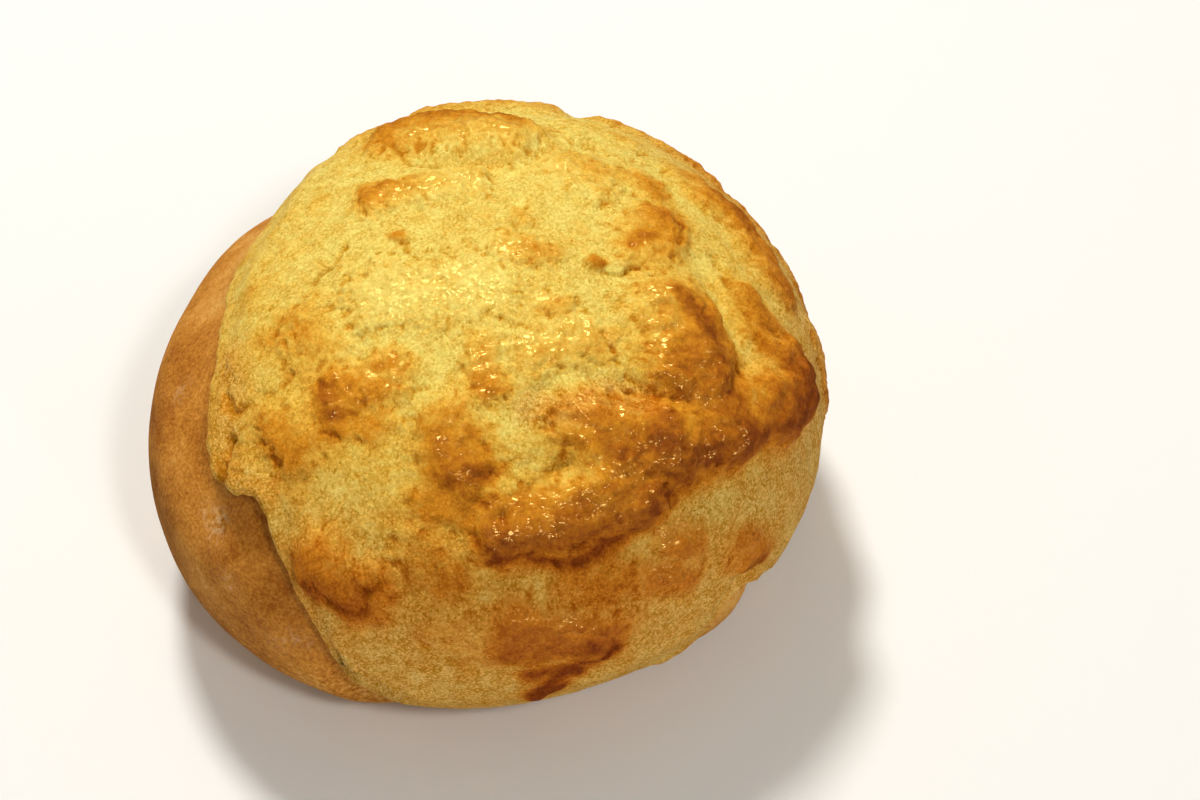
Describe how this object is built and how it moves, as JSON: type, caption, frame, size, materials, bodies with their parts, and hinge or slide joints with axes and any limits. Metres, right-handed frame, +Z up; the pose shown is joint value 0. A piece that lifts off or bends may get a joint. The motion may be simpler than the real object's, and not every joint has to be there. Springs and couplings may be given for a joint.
{
  "type": "melon pan bun",
  "caption": "Round sweet bread bun with a browned, mounded cookie-dough crust over its dome, bare bread along one side, and a flat underside.",
  "frame": {"origin": "middle of the bun's bounding box, on the flat underside it rests on", "axes": "+Z up out of the crown, -Y towards the side where the crust reaches lowest, -X towards the bare bread"},
  "size_m": [0.0954, 0.0936, 0.0575],
  "materials": {
    "bread": "baked bread crust: smooth, thin and golden brown, with a dull satin skin",
    "cookie_crust": "baked cookie dough: fine-grained and pale gold, with browned mounds under a thin egg glaze"
  },
  "bodies": {
    "root": {"bread": "bread", "cookie_crust": "cookie_crust"}
  },
  "joints": []
}
